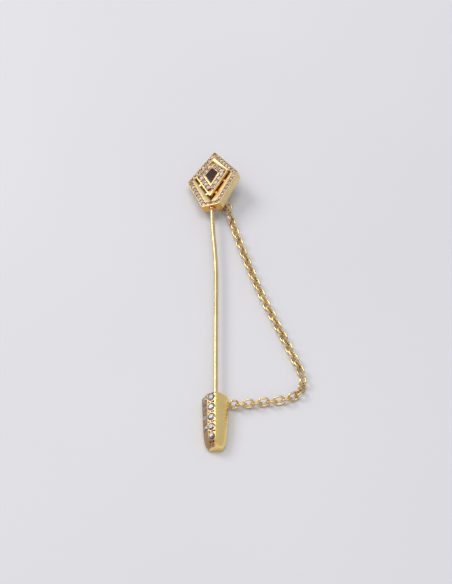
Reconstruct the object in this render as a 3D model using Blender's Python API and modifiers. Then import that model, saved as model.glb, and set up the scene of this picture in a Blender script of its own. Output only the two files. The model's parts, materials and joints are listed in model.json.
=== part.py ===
"""Stick pin with a kite-shaped head, a sliding end clasp and a safety chain, lying at rest.

Every piece is drawn in millimetres and scaled to metres when it is placed. The pin lies
along Y with its head towards +Y, +Z is up, and the resting surface is z = 0.
"""
import math

import bmesh
import bpy
from mathutils import Matrix, Vector

MM = 0.001
COLLECTION = "stick_pin"
MERGE = 0.0001

# Head: a flat kite outline in its own frame, x across, y towards the top, z = 0 on the outer tier's face
HEAD_CENTRE = (-0.84, 27.5)
HEAD_ROLL = -19.9
HEAD_PITCH = -1.0
HEAD_TURN = -3.0
OUTER_HALF = 5.45
OUTER_WAIST = -0.35
OUTER_TOP = 6.95
OUTER_FOOT = -8.1
OUTER_FOOT_HALF = 1.9
OUTER_THICK = 1.8
INNER_HALF = 3.4
INNER_TOP = 4.0
INNER_FOOT = -6.3
INNER_RISE = 0.6
INNER_BACK = -1.6
STONE_HALF = 1.3
STONE_TOP = 1.8
STONE_FOOT = -2.6
SLOT = 0.38
CORNER = 0.35
FOOT_CORNER = 0.9
CORNER_STEPS = 4
EDGE_SOFT = 0.12
CHANNEL_DEPTH = 0.45
OUTER_CHANNEL = (0.17, 1.03)
INNER_CHANNEL = (0.26, 1.36)
POCKET_DEPTH = 0.95
BEZEL_GAP = 0.03
TAB_WIDTH = 0.55
TAB_TOP = -0.12
TAB_BASE = -0.9
TAB_SHARES = (0.28, 0.74)
FIT_GAP = 0.02

# Stones: radius, then heights of the foot, girdle and table below the face they are set in
OUTER_STONE = 0.4
INNER_STONE = 0.5
STONE_SIDES = 6
CLASP_STONE_SIDES = 8
FOOT_SHARE = 0.35
TABLE_SHARE = 0.6
GIRDLE_DEPTH = 0.16
TABLE_RISE = 0.04
WEB_HALF = 0.09
WEB_TOP = -0.3
OUTER_PITCH = 1.02
INNER_PITCH = 1.22

# Pin wire
PIN_RADIUS = 0.42
PIN_HEIGHT = 1.85
PIN_ENTRY = -1.1
PIN_SET = 0.7
PIN_TIP = -34.0
PIN_TAPER = 3.0
PIN_TIP_RADIUS = 0.06
PIN_BEND = ((-0.72, 14.3, 2.25), (-0.24, 8.0, 1.98), (-0.03, 3.0, 1.87))
COLLAR_RADIUS = 0.72
COLLAR_TUBE = 0.26

# Clasp: a tapered bullet lying on its flat base, z from the resting surface
CLASP_START = -25.7
CLASP_LENGTH = 10.4
CLASP_SECTION = (
    (0.0, 3.6), (0.62, 3.32), (1.2, 2.97), (1.75, 2.5), (2.2, 1.95), (2.42, 1.35), (2.38, 0.8), (2.1, 0.3),
    (1.65, 0.0), (-1.65, 0.0), (-2.15, 0.4), (-2.45, 1.25), (-1.55, 2.75),
)
CLASP_STATIONS = (
    (0.0, 0.95), (0.032, 0.995), (0.673, 0.87), (0.769, 0.83), (0.856, 0.78), (0.923, 0.72),
    (0.971, 0.63), (1.0, 0.5),
)
BORE_RADIUS = 0.66
BORE_LENGTH = 6.8
TIP_BORE_RADIUS = 0.5
TIP_BORE_LENGTH = 9.1
SLEEVE_RADIUS = 0.64
SLEEVE_BORE = 0.45
SLEEVE_LENGTH = 6.0
SLEEVE_INSET = 0.6
ROUND_STEPS = 20
UPPER_STONES = ((0.096, 0.74), (0.288, 0.74), (0.48, 0.72), (0.672, 0.68), (0.843, 0.56))
LOWER_STONES = ((0.08, 0.7), (0.267, 0.7), (0.454, 0.66), (0.66, 0.6))
SEAT_GAP = 0.03
SEAT_DEPTH = 0.32
SEAT_WEB_TOP = -0.15
CLASP_RING_RADIUS = 0.72
CLASP_RING_TUBE = 0.2
CLASP_RING_Y = -26.8
CLASP_RING_Z = 0.95
CLASP_RING_TILT = 40.0

# Chain: cable links with an alternate quarter turn, laid along a curve on the resting surface
LINK_WIRE = 0.42
LINK_WIDTH = 1.74
LINK_SLACK = 0.04
LINK_COUNT = 40
BREAK_AFTER = 29
BREAK_GAP = 0.06
LINK_ROLL = 45.0
LINK_BOW_STEPS = 5
LONG_LINK = (3.5, 1.75, 0.4)
JUMP_RING = (2.1, 2.1, 0.42)
JUMP_ROLL = 18.0
LOOP_CENTRE = (1.85, 22.3)
LOOP_RADIUS = 1.02
LOOP_TUBE = 0.25
LOOP_TURN = 8.0
LOOP_HOOK = 8.0
CHAIN_REST = 0.69
CHAIN_PATH = (
    (2.5, 19.5), (3.1, 17.3), (4.4, 12.3), (5.9, 7.2), (7.4, 2.3), (9.0, -2.4), (10.7, -6.9),
    (12.4, -11.3), (14.0, -15.6), (15.4, -19.4), (15.7, -22.0), (14.6, -24.4), (12.4, -25.5), (8.5, -26.1),
)
PATH_STEPS = 24

GOLD = (0.83, 0.62, 0.27, 1.0)
PALE_STONE = (0.93, 0.9, 0.86, 1.0)
DARK_STONE = (0.07, 0.05, 0.05, 1.0)


def clear_scene():
    for obj in list(bpy.data.objects):
        bpy.data.objects.remove(obj, do_unlink=True)


def collection():
    found = bpy.data.collections.get(COLLECTION)
    if found is None:
        found = bpy.data.collections.new(COLLECTION)
        bpy.context.scene.collection.children.link(found)
    return found


def material(name, colour, metallic, roughness):
    made = bpy.data.materials.new(name)
    made.use_nodes = True
    shader = made.node_tree.nodes["Principled BSDF"]
    shader.inputs["Base Color"].default_value = colour
    shader.inputs["Metallic"].default_value = metallic
    shader.inputs["Roughness"].default_value = roughness
    made.diffuse_color = colour
    return made


def evaluated_mesh(obj):
    """The object's mesh with its curve shape or modifiers applied, welded and facing outwards."""
    graph = bpy.context.evaluated_depsgraph_get()
    mesh = bpy.data.meshes.new_from_object(obj.evaluated_get(graph))
    work = bmesh.new()
    work.from_mesh(mesh)
    bmesh.ops.remove_doubles(work, verts=work.verts, dist=MERGE)
    loose = [edge for edge in work.edges if not edge.link_faces]
    bmesh.ops.delete(work, geom=loose, context="EDGES")
    bmesh.ops.recalc_face_normals(work, faces=work.faces)
    work.to_mesh(mesh)
    work.free()
    return mesh


def settle(obj):
    """Replace an object with a plain mesh object of the same name and place."""
    mesh = evaluated_mesh(obj)
    made = bpy.data.objects.new(obj.name + "_solid", mesh)
    made.matrix_world = obj.matrix_world.copy()
    bpy.context.scene.collection.objects.link(made)
    bpy.data.objects.remove(obj, do_unlink=True)
    return made


def curve_object(name, splines, dimensions, closed):
    curve = bpy.data.curves.new(name, "CURVE")
    curve.dimensions = dimensions
    for points in splines:
        spline = curve.splines.new("POLY")
        spline.points.add(len(points) - 1)
        for target, point in zip(spline.points, points):
            target.co = (*point, 0.0, 1.0) if len(point) == 2 else (*point, 1.0)
        spline.use_cyclic_u = closed
    made = bpy.data.objects.new(name, curve)
    bpy.context.scene.collection.objects.link(made)
    return made


def prism(name, outlines, low, high):
    """A flat shape with holes, filled and extruded between two heights."""
    made = curve_object(name, outlines, "2D", True)
    made.data.fill_mode = "BOTH"
    made.data.extrude = (high - low) / 2
    made = settle(made)
    made.data.transform(Matrix.Translation((0, 0, (high + low) / 2)))
    return made


def tube(name, points, radius, closed, resolution=1):
    made = curve_object(name, [points], "3D", closed)
    made.data.bevel_depth = radius
    made.data.bevel_resolution = resolution
    made.data.use_fill_caps = not closed
    return settle(made)


def lathe(name, profile, steps=ROUND_STEPS):
    """A profile of (radius, height) points turned about Z."""
    mesh = bpy.data.meshes.new(name)
    mesh.from_pydata(
        [(r, 0.0, z) for r, z in profile],
        [(i, (i + 1) % len(profile)) for i in range(len(profile))],
        [],
    )
    made = bpy.data.objects.new(name, mesh)
    bpy.context.scene.collection.objects.link(made)
    screw = made.modifiers.new("turn", "SCREW")
    screw.steps = steps
    screw.render_steps = steps
    screw.use_merge_vertices = True
    screw.merge_threshold = MERGE
    return settle(made)


def boolean(target, other, operation):
    """Apply a Boolean with another object, then remove that object."""
    cut = target.modifiers.new("cut", "BOOLEAN")
    cut.operation = operation
    cut.solver = "EXACT"
    cut.object = other
    bpy.context.view_layer.update()
    mesh = evaluated_mesh(target)
    target.modifiers.clear()
    target.data = mesh
    bpy.data.objects.remove(other, do_unlink=True)
    return target


def soften(target, width, angle=50.0):
    """Round the sharp edges."""
    soft = target.modifiers.new("soft", "BEVEL")
    soft.width = width
    soft.segments = 1
    soft.limit_method = "ANGLE"
    soft.angle_limit = math.radians(angle)
    bpy.context.view_layer.update()
    mesh = evaluated_mesh(target)
    target.modifiers.clear()
    target.data = mesh
    return target


def joined(objects):
    """One object that holds several separate shells."""
    work = bmesh.new()
    for obj in objects:
        mesh = obj.data.copy()
        mesh.transform(obj.matrix_world)
        work.from_mesh(mesh)
        bpy.data.objects.remove(obj, do_unlink=True)
    mesh = bpy.data.meshes.new("joined")
    work.to_mesh(mesh)
    work.free()
    made = bpy.data.objects.new("joined", mesh)
    bpy.context.scene.collection.objects.link(made)
    return made


def place(obj, name, matrix, finish, pivot=None, smooth=False):
    """Scale to metres, put the piece in the world, and set its origin on its pivot."""
    mesh = obj.data
    mesh.transform(Matrix.Scale(MM, 4) @ matrix @ obj.matrix_world)
    origin = Vector(pivot) * MM if pivot is not None else Vector((0.0, 0.0, 0.0))
    mesh.transform(Matrix.Translation(-origin))
    mesh.name = name
    mesh.materials.clear()
    mesh.materials.append(finish)
    for face in mesh.polygons:
        face.use_smooth = smooth
    made = bpy.data.objects.new(name, mesh)
    made.location = origin
    collection().objects.link(made)
    bpy.data.objects.remove(obj, do_unlink=True)
    return made


def inset(points, distance):
    """A closed outline, listed clockwise, moved inwards by a distance."""
    count = len(points)
    moved = []
    for i in range(count):
        before = Vector(points[i - 1])
        here = Vector(points[i])
        after = Vector(points[(i + 1) % count])
        first = (here - before).normalized()
        second = (after - here).normalized()
        first_normal = Vector((first.y, -first.x))
        second_normal = Vector((second.y, -second.x))
        share = 1.0 + first_normal.dot(second_normal)
        moved.append(tuple(here + (first_normal + second_normal) * (distance / share)))
    return moved


def rounded(points, radii):
    """A closed outline with its corners rounded."""
    count = len(points)
    out = []
    for i in range(count):
        here = Vector(points[i])
        to_before = (Vector(points[i - 1]) - here).normalized()
        to_after = (Vector(points[(i + 1) % count]) - here).normalized()
        half = math.acos(max(-1.0, min(1.0, to_before.dot(to_after)))) / 2
        reach = radii[i] / math.tan(half)
        start = here + to_before * reach
        end = here + to_after * reach
        for k in range(CORNER_STEPS + 1):
            t = k / CORNER_STEPS
            out.append(tuple(start * (1 - t) ** 2 + here * (2 * t * (1 - t)) + end * t ** 2))
    return out


def outer_points():
    return [
        (0.0, OUTER_TOP), (OUTER_HALF, OUTER_WAIST), (OUTER_FOOT_HALF, OUTER_FOOT),
        (-OUTER_FOOT_HALF, OUTER_FOOT), (-OUTER_HALF, OUTER_WAIST),
    ]


def kite(half, top, foot):
    return [(0.0, top), (half, 0.0), (0.0, foot), (-half, 0.0)]


def head_matrix():
    """The head's frame in the world, resting on its lowest corner."""
    turn = (
        Matrix.Rotation(math.radians(HEAD_PITCH), 4, "X")
        @ Matrix.Rotation(math.radians(HEAD_ROLL), 4, "Y")
        @ Matrix.Rotation(math.radians(HEAD_TURN), 4, "Z")
    )
    lowest = min((turn @ Vector((x, y, -OUTER_THICK))).z for x, y in outer_points())
    return Matrix.Translation((*HEAD_CENTRE, -lowest)) @ turn


def gem(radius, position, frame=None, foot=-CHANNEL_DEPTH + FIT_GAP, sides=STONE_SIDES):
    """A cut stone: a table, a girdle and a flat foot, its girdle just under the face."""
    profile = [
        (0.0, foot), (radius * FOOT_SHARE, foot), (radius, -GIRDLE_DEPTH), (radius * TABLE_SHARE, TABLE_RISE),
        (0.0, TABLE_RISE),
    ]
    made = lathe("gem", profile, sides)
    made.data.transform(Matrix.Translation((*position, 0.0)))
    if frame is not None:
        made.data.transform(frame)
    return made


def spaced(points, pitch, start, finish):
    """Evenly spaced points along an open line of corners, clear of both ends."""
    corners = [Vector(p) for p in points]
    lengths = [(b - a).length for a, b in zip(corners, corners[1:])]
    total = sum(lengths) - start - finish
    count = max(1, round(total / pitch))
    out = []
    for i in range(count + 1):
        along = start + total * i / count
        k = 0
        while k < len(lengths) - 1 and along > lengths[k]:
            along -= lengths[k]
            k += 1
        out.append(tuple(corners[k].lerp(corners[k + 1], min(1.0, along / lengths[k]))))
    return out


def strip(points, half):
    """The outline of a thin strip along an open line of corners."""
    left, right = [], []
    for i, point in enumerate(points):
        here = Vector(point)
        before = Vector(points[max(i - 1, 0)])
        after = Vector(points[min(i + 1, len(points) - 1)])
        first = (here - before).normalized() if i else (after - here).normalized()
        second = (after - here).normalized() if i < len(points) - 1 else first
        normal = Vector((-first.y - second.y, first.x + second.x))
        normal /= max(normal.length_squared / 2, MERGE)
        left.append(tuple(here + normal * half))
        right.append(tuple(here - normal * half))
    return left + right[::-1]


def stone_row(name, corners, radius, pitch, ends, lift, finish, matrix):
    """One side's row of stones, joined under the girdles by a thin strip of their setting."""
    spots = spaced(corners, pitch, *ends)
    line = [spots[0]] + [c for c in corners[1:-1]] + [spots[-1]]
    web = prism("web", [strip(line, WEB_HALF)], -CHANNEL_DEPTH + FIT_GAP, WEB_TOP)
    row = boolean(web, joined([gem(radius, spot) for spot in spots]), "UNION")
    row.data.transform(Matrix.Translation((0.0, 0.0, lift)))
    return place(row, name, matrix, finish)


def build_head(gold, pale, dark):
    matrix = head_matrix()
    outline = outer_points()
    opening = inset(kite(INNER_HALF, INNER_TOP, INNER_FOOT), -SLOT)
    radii = (CORNER, 0.8, FOOT_CORNER, FOOT_CORNER, 0.8)
    frame = prism("frame", [rounded(outline, radii)], -OUTER_THICK, 0.0)
    soften(frame, EDGE_SOFT, 60.0)
    boolean(frame, prism("opening", [rounded(opening, (0.2,) * 4)], -OUTER_THICK - 1.0, 1.0), "DIFFERENCE")
    channel = [inset(outline, d) for d in OUTER_CHANNEL]
    boolean(frame, prism("channel", channel, -CHANNEL_DEPTH, 1.0), "DIFFERENCE")
    hole = lathe("hole", [(0.0, 0.0), (PIN_RADIUS + FIT_GAP, 0.0), (PIN_RADIUS + FIT_GAP, 3.0), (0.0, 3.0)])
    hole.data.transform(
        Matrix.Translation((0.0, OUTER_FOOT + PIN_SET + FIT_GAP, PIN_ENTRY))
        @ Matrix.Rotation(math.pi / 2, 4, "X")
    )
    boolean(frame, hole, "DIFFERENCE")
    place(frame, "head_outer_frame", matrix, gold)

    inner = kite(INNER_HALF, INNER_TOP, INNER_FOOT)
    tier = prism("tier", [rounded(inner, (0.3, 0.3, 0.45, 0.3))], INNER_BACK, INNER_RISE)
    soften(tier, 0.06, 60.0)
    tabs = []
    for i in range(4):
        a, b = Vector(inner[i]), Vector(inner[(i + 1) % 4])
        along = (b - a).normalized()
        outward = Vector((-along.y, along.x))
        if outward.dot(a + b) < 0:
            outward = -outward
        for share in TAB_SHARES:
            middle = a.lerp(b, share)
            reach = SLOT - FIT_GAP
            corners = [
                middle - along * TAB_WIDTH / 2 - outward * 0.3,
                middle - along * TAB_WIDTH / 2 + outward * reach,
                middle + along * TAB_WIDTH / 2 + outward * reach,
                middle + along * TAB_WIDTH / 2 - outward * 0.3,
            ]
            tabs.append(prism("tab", [[tuple(c) for c in corners]], TAB_BASE, TAB_TOP))
    boolean(tier, joined(tabs), "UNION")
    channel = [inset(inner, d) for d in INNER_CHANNEL]
    boolean(tier, prism("channel", channel, INNER_RISE - CHANNEL_DEPTH, INNER_RISE + 1.0), "DIFFERENCE")
    centre = kite(STONE_HALF, STONE_TOP, STONE_FOOT)
    pocket = prism("pocket", [inset(centre, -BEZEL_GAP)], INNER_RISE - POCKET_DEPTH, INNER_RISE + 1.0)
    boolean(tier, pocket, "DIFFERENCE")
    place(tier, "head_inner_frame", matrix, gold)

    stone = prism("stone", [centre], INNER_RISE - POCKET_DEPTH + FIT_GAP, INNER_RISE - 0.05)
    soften(stone, 0.1, 60.0)
    place(stone, "head_centre_stone", matrix, dark)

    middle = inset(outline, sum(OUTER_CHANNEL) / 2)
    half_foot = [(0.0, middle[2][1])]
    right = [middle[0], middle[1], middle[2]] + half_foot
    left = [(-x, y) for x, y in right]
    ends = (0.72, 0.55)
    stone_row("head_outer_stones_right", right, OUTER_STONE, OUTER_PITCH, ends, 0.0, pale, matrix)
    stone_row("head_outer_stones_left", left, OUTER_STONE, OUTER_PITCH, ends, 0.0, pale, matrix)
    middle = inset(inner, sum(INNER_CHANNEL) / 2)
    right = [middle[0], middle[1], middle[2]]
    left = [(-x, y) for x, y in right]
    ends = (0.86, 1.12)
    stone_row("head_inner_stones_right", right, INNER_STONE, INNER_PITCH, ends, INNER_RISE, pale, matrix)
    stone_row("head_inner_stones_left", left, INNER_STONE, INNER_PITCH, ends, INNER_RISE, pale, matrix)


def pin_start():
    return head_matrix() @ Vector((0.0, OUTER_FOOT + PIN_SET, PIN_ENTRY))


def smooth_path(points, steps):
    """A Catmull-Rom curve through the points."""
    padded = [points[0] * 2 - points[1]] + points + [points[-1] * 2 - points[-2]]
    out = []
    for i in range(1, len(padded) - 2):
        a, b, c, d = padded[i - 1], padded[i], padded[i + 1], padded[i + 2]
        for k in range(steps):
            t = k / steps
            out.append(
                (
                    b * 2 + (c - a) * t
                    + (a * 2 - b * 5 + c * 4 - d) * t ** 2
                    + (b * 3 - a - c * 3 + d) * t ** 3
                ) / 2
            )
    out.append(points[-1])
    return out


def build_pin(gold):
    matrix = head_matrix()
    start = pin_start()
    leave = matrix @ Vector((0.0, OUTER_FOOT - 0.6, PIN_ENTRY))
    bend = [Vector(p) for p in PIN_BEND]
    straight = [Vector((0.0, -1.0, PIN_HEIGHT)), Vector((0.0, PIN_TIP + PIN_TAPER, PIN_HEIGHT))]
    path = [start] + smooth_path([leave] + bend + [straight[0]], 3) + [straight[1]]
    wire = curve_object("wire", [[tuple(p) for p in path] + [(0.0, PIN_TIP, PIN_HEIGHT)]], "3D", False)
    wire.data.bevel_depth = PIN_RADIUS
    wire.data.bevel_resolution = 3
    wire.data.use_fill_caps = True
    wire.data.splines[0].points[-1].radius = PIN_TIP_RADIUS / PIN_RADIUS
    place(settle(wire), "pin_stem", Matrix.Identity(4), gold, smooth=True)

    profile = []
    for k in range(8):
        angle = math.radians(360.0 * k / 8 + 22.5)
        profile.append((COLLAR_RADIUS - COLLAR_TUBE * (1 - math.cos(angle)), COLLAR_TUBE * math.sin(angle)))
    inner = PIN_RADIUS + FIT_GAP
    profile = [(max(r, inner), z) for r, z in profile]
    collar = lathe("collar", profile, 16)
    direction = (leave - start).normalized()
    spot = matrix @ Vector((0.0, OUTER_FOOT - COLLAR_TUBE - FIT_GAP, PIN_ENTRY))
    turn = direction.to_track_quat("Z", "Y").to_matrix().to_4x4()
    place(collar, "pin_collar", Matrix.Translation(spot) @ turn, gold, smooth=True)


def clasp_scale(share):
    stations = CLASP_STATIONS
    for (a, ka), (b, kb) in zip(stations, stations[1:]):
        if share <= b:
            return ka + (kb - ka) * (share - a) / (b - a)
    return stations[-1][1]


def clasp_point(index, share):
    x, z = CLASP_SECTION[index]
    k = clasp_scale(share)
    return Vector((x * k, CLASP_START - CLASP_LENGTH * share, z * k))


def facet_frame(first, second, share):
    """A frame on one flat side of the clasp: x across it, y back along the pin, z outwards."""
    near = 0.1
    far = 0.6
    base = (clasp_point(first, near) + clasp_point(second, near)) / 2
    tip = (clasp_point(first, far) + clasp_point(second, far)) / 2
    along = (base - tip).normalized()
    across = (clasp_point(first, near) - clasp_point(second, near)).normalized()
    normal = across.cross(along).normalized()
    across = along.cross(normal)
    spot = base.lerp(tip, (share - near) / (far - near))
    turn = Matrix((across, along, normal)).transposed().to_4x4()
    return Matrix.Translation(spot) @ turn


def clasp_row(name, stones, first, second, finish, shell):
    """Stones along one flat side of the clasp, with the seats they need cut from the shell."""
    seats = []
    gems = []
    foot = -SEAT_DEPTH + FIT_GAP
    for share, radius in stones:
        frame = facet_frame(first, second, share)
        seat = lathe(
            "seat",
            [(0.0, -SEAT_DEPTH), (radius + SEAT_GAP, -SEAT_DEPTH), (radius + SEAT_GAP, 1.0), (0.0, 1.0)],
            CLASP_STONE_SIDES,
        )
        seat.data.transform(frame)
        seats.append(seat)
        gems.append(gem(radius, (0.0, 0.0), frame, foot, CLASP_STONE_SIDES))
    middle = facet_frame(first, second, (stones[0][0] + stones[-1][0]) / 2)
    half = (stones[-1][0] - stones[0][0]) * CLASP_LENGTH / 2
    groove = WEB_HALF + SEAT_GAP
    line = [(0.0, -half), (0.0, half)]
    cut = prism("groove", [strip(line, groove)], -SEAT_DEPTH, 0.5)
    cut.data.transform(middle)
    web = prism("web", [strip(line, WEB_HALF)], foot, SEAT_WEB_TOP)
    web.data.transform(middle)
    boolean(shell, joined(seats), "DIFFERENCE")
    boolean(shell, cut, "DIFFERENCE")
    return boolean(web, joined(gems), "UNION")


def ring_centre():
    """The middle of the ring that stands against the clasp's plain side."""
    share = (CLASP_START - CLASP_RING_Y) / CLASP_LENGTH
    side = max(x for x, z in CLASP_SECTION) * clasp_scale(share)
    return Vector((side + CLASP_RING_RADIUS + CLASP_RING_TUBE + FIT_GAP, CLASP_RING_Y, CLASP_RING_Z))


def build_clasp(gold, pale):
    """The shell is a loft of one section, narrowing towards its tip."""
    work = bmesh.new()
    rings = []
    for share, scale in CLASP_STATIONS:
        y = CLASP_START - CLASP_LENGTH * share
        rings.append([work.verts.new((x * scale, y, z * scale)) for x, z in CLASP_SECTION])
    count = len(CLASP_SECTION)
    for near, far in zip(rings, rings[1:]):
        for i in range(count):
            k = (i + 1) % count
            work.faces.new((near[i], near[k], far[k], far[i]))
    work.faces.new(rings[0])
    work.faces.new(rings[-1])
    bmesh.ops.recalc_face_normals(work, faces=work.faces)
    mesh = bpy.data.meshes.new("shell")
    work.to_mesh(mesh)
    work.free()
    shell = bpy.data.objects.new("shell", mesh)
    bpy.context.scene.collection.objects.link(shell)

    bore = lathe(
        "bore",
        [
            (0.0, -1.0), (BORE_RADIUS, -1.0), (BORE_RADIUS, BORE_LENGTH), (TIP_BORE_RADIUS, BORE_LENGTH),
            (TIP_BORE_RADIUS, TIP_BORE_LENGTH), (0.0, TIP_BORE_LENGTH + 0.3),
        ],
    )
    along = Matrix.Rotation(math.pi / 2, 4, "X")
    bore.data.transform(Matrix.Translation((0.0, CLASP_START, PIN_HEIGHT)) @ along)
    boolean(shell, bore, "DIFFERENCE")
    last = len(CLASP_SECTION) - 1
    upper = clasp_row("upper", UPPER_STONES, 0, last, pale, shell)
    lower = clasp_row("lower", LOWER_STONES, last, last - 1, pale, shell)
    axis = (0.0, CLASP_START, PIN_HEIGHT)
    still = Matrix.Identity(4)
    place(shell, "clasp_shell", still, gold, axis)
    place(upper, "clasp_upper_stones", still, pale, axis)
    place(lower, "clasp_lower_stones", still, pale, axis)

    sleeve = lathe(
        "sleeve",
        [
            (SLEEVE_BORE, 0.0), (SLEEVE_RADIUS, 0.0),
            (SLEEVE_RADIUS, SLEEVE_LENGTH), (SLEEVE_BORE, SLEEVE_LENGTH),
        ],
    )
    sleeve.data.transform(Matrix.Translation((0.0, CLASP_START - SLEEVE_INSET, PIN_HEIGHT)) @ along)
    place(sleeve, "clasp_grip_sleeve", still, gold, axis, smooth=False)

    centre = ring_centre()
    ring = tube("ring", circle(CLASP_RING_RADIUS, 18), CLASP_RING_TUBE, True, 2)
    turn = Matrix.Rotation(math.radians(CLASP_RING_TILT), 4, "X")
    place(ring, "clasp_ring", Matrix.Translation(centre) @ turn, gold, axis, smooth=True)


def circle(radius, steps):
    """A ring's centre line, with a flat step facing each of the four sides."""
    half = math.pi / steps
    return [
        (radius * math.cos(2 * half * k + half), radius * math.sin(2 * half * k + half), 0.0)
        for k in range(steps)
    ]


def link_points(length, width, wire):
    """The centre line of an oval link, lengthwise along X and flat in XY, with a flat step at each end."""
    bow = (width - wire) / 2
    step = math.pi / LINK_BOW_STEPS
    half = (length - wire) / 2 - bow * math.cos(step / 2)
    points = []
    for side in (1, -1):
        for k in range(LINK_BOW_STEPS + 1):
            angle = step * k - math.pi / 2
            points.append((side * (half + bow * math.cos(angle)), side * bow * math.sin(angle), 0.0))
    return points


def link_frame(start, end, shift, roll):
    """A link's frame: x from one pivot to the next, y across the link, z its flat side's normal."""
    along = (end - start).normalized()
    across = Vector((0.0, 0.0, 1.0)).cross(along).normalized()
    upward = along.cross(across)
    angle = math.radians(roll)
    wide = across * math.cos(angle) + upward * math.sin(angle)
    flat = along.cross(wide)
    turn = Matrix((along, wide, flat)).transposed().to_4x4()
    return Matrix.Translation(start + along * shift) @ turn


def chord_walk(path, start, chord, count):
    """Points along a path, each one chord from the last."""
    here = start
    out = [here]
    k = min(range(len(path)), key=lambda i: (path[i] - here).length)
    for _ in range(count):
        while k < len(path) - 1 and (path[k + 1] - here).length < chord:
            k += 1
        if k == len(path) - 1:
            extra = (path[-1] - path[-2]).normalized()
            here = here + extra * chord
            out.append(here)
            continue
        low, high = 0.0, 1.0
        for _ in range(40):
            mid = (low + high) / 2
            if (path[k].lerp(path[k + 1], mid) - here).length < chord:
                low = mid
            else:
                high = mid
        here = path[k].lerp(path[k + 1], high)
        out.append(here)
    return out


def overlap(wire, other):
    """Half of how far two interlocked wires reach past each other."""
    return (wire / 2 + other / 2 + LINK_SLACK) / 2


def loop_matrix():
    """The ring under the head's right foot, standing upright on the resting surface."""
    return (
        Matrix.Translation((*LOOP_CENTRE, LOOP_RADIUS + LOOP_TUBE))
        @ Matrix.Rotation(math.radians(LOOP_TURN), 4, "Z")
        @ Matrix.Rotation(math.pi / 2, 4, "Y")
    )


def hooked_point():
    """Where the jump ring hangs on the loop's wire."""
    hook = math.radians(LOOP_HOOK)
    return loop_matrix() @ (Vector((math.sin(hook), -math.cos(hook), 0.0)) * LOOP_RADIUS)


def chain_layout():
    """Every chain piece as (name, start, end, size, shift, roll, held_at), in order from the head.

    Start and end lie between the piece's bows and its neighbours'. The chain is open after
    link BREAK_AFTER: the links up to there hang from the head, and the rest from the clasp's ring.
    """
    hooked = hooked_point()
    corners = [Vector((x, y, CHAIN_REST)) for x, y in CHAIN_PATH]
    ring_wire = ring_centre() + Vector((CLASP_RING_RADIUS, 0.0, 0.0))
    link_over = overlap(LINK_WIRE, LINK_WIRE)
    into_ring = (ring_wire - corners[-1]).normalized()
    ring_hook = CLASP_RING_TUBE + LINK_WIRE / 2 + LINK_SLACK - link_over
    path = smooth_path(corners + [ring_wire + into_ring * ring_hook], PATH_STEPS)
    toward = (path[0] - hooked).normalized()
    loop_over = overlap(2 * LOOP_TUBE, JUMP_RING[2])
    jump_over = overlap(JUMP_RING[2], LONG_LINK[2])
    long_over = overlap(LONG_LINK[2], LINK_WIRE)
    first = hooked - toward * loop_over
    second = first + toward * (JUMP_RING[0] - JUMP_RING[2] - loop_over - jump_over)
    third = chord_walk(path, second, LONG_LINK[0] - LONG_LINK[2] - jump_over - long_over, 1)[1]
    low, high = 1.0, 2.0
    for _ in range(40):
        pitch = (low + high) / 2
        near = chord_walk(path, third, pitch, BREAK_AFTER)
        resume = chord_walk(path, near[-1], 2 * LINK_WIRE + LINK_SLACK + BREAK_GAP, 1)[1]
        far = chord_walk(path, resume, pitch, LINK_COUNT - BREAK_AFTER)
        past = (far[-1] - path[-1]).dot(into_ring) > 0
        low, high = (low, pitch) if past else (pitch, high)
    link = (pitch + 2 * link_over + LINK_WIRE, LINK_WIDTH, LINK_WIRE)
    pieces = [
        (
            "jump_ring", first, second, JUMP_RING,
            (JUMP_RING[0] - JUMP_RING[2]) / 2 - loop_over, JUMP_ROLL, first,
        ),
        (
            "chain_long_link", second, third, LONG_LINK,
            (LONG_LINK[0] - LONG_LINK[2]) / 2 - jump_over, -LINK_ROLL, second,
        ),
    ]
    spans = list(zip(near, near[1:])) + list(zip(far, far[1:]))
    for k, (start, end) in enumerate(spans):
        on_clasp = k >= BREAK_AFTER
        roll = LINK_ROLL if (k % 2 == 0) != on_clasp else -LINK_ROLL
        shift = (link[0] - LINK_WIRE) / 2 - (link_over if k else long_over)
        pieces.append((f"chain_link_{k + 1:02d}", start, end, link, shift, roll, end if on_clasp else start))
    return pieces


def build_chain(gold):
    """Each piece's origin lies where it swings on the piece that holds it."""
    loop = tube("loop", circle(LOOP_RADIUS, 18), LOOP_TUBE, True, 2)
    place(loop, "head_loop", loop_matrix(), gold, smooth=True)
    for name, start, end, size, shift, roll, held_at in chain_layout():
        resolution = 1 if name.startswith("chain_link") else 2
        link = tube("link", link_points(*size), size[2] / 2, True, resolution)
        place(link, name, link_frame(start, end, shift, roll), gold, held_at, smooth=True)


def centre_all():
    """Put the middle of the whole piece's footprint on the world's origin."""
    low = Vector((math.inf, math.inf))
    high = Vector((-math.inf, -math.inf))
    for obj in collection().objects:
        for vertex in obj.data.vertices:
            spot = (vertex.co + obj.location).xy
            low = Vector(map(min, low, spot))
            high = Vector(map(max, high, spot))
    middle = (low + high) / 2
    for obj in collection().objects:
        obj.location -= Vector((middle.x, middle.y, 0.0))


def build():
    clear_scene()
    gold = material("gold_plate", GOLD, 1.0, 0.28)
    pale = material("pale_stone", PALE_STONE, 0.0, 0.08)
    dark = material("dark_stone", DARK_STONE, 0.0, 0.15)
    build_head(gold, pale, dark)
    build_pin(gold)
    build_clasp(gold, pale)
    build_chain(gold)
    centre_all()


build()
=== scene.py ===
"""Stick pin with a kite head, a slide-on clasp and a safety chain, lying on a pale table.

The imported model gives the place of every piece. The finer shapes here are drawn in
millimetres in the part's own frame, then moved to the row frame in metres.
"""

import json
import math

import bmesh
import bpy
import numpy as np
from mathutils import Matrix, Vector


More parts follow.
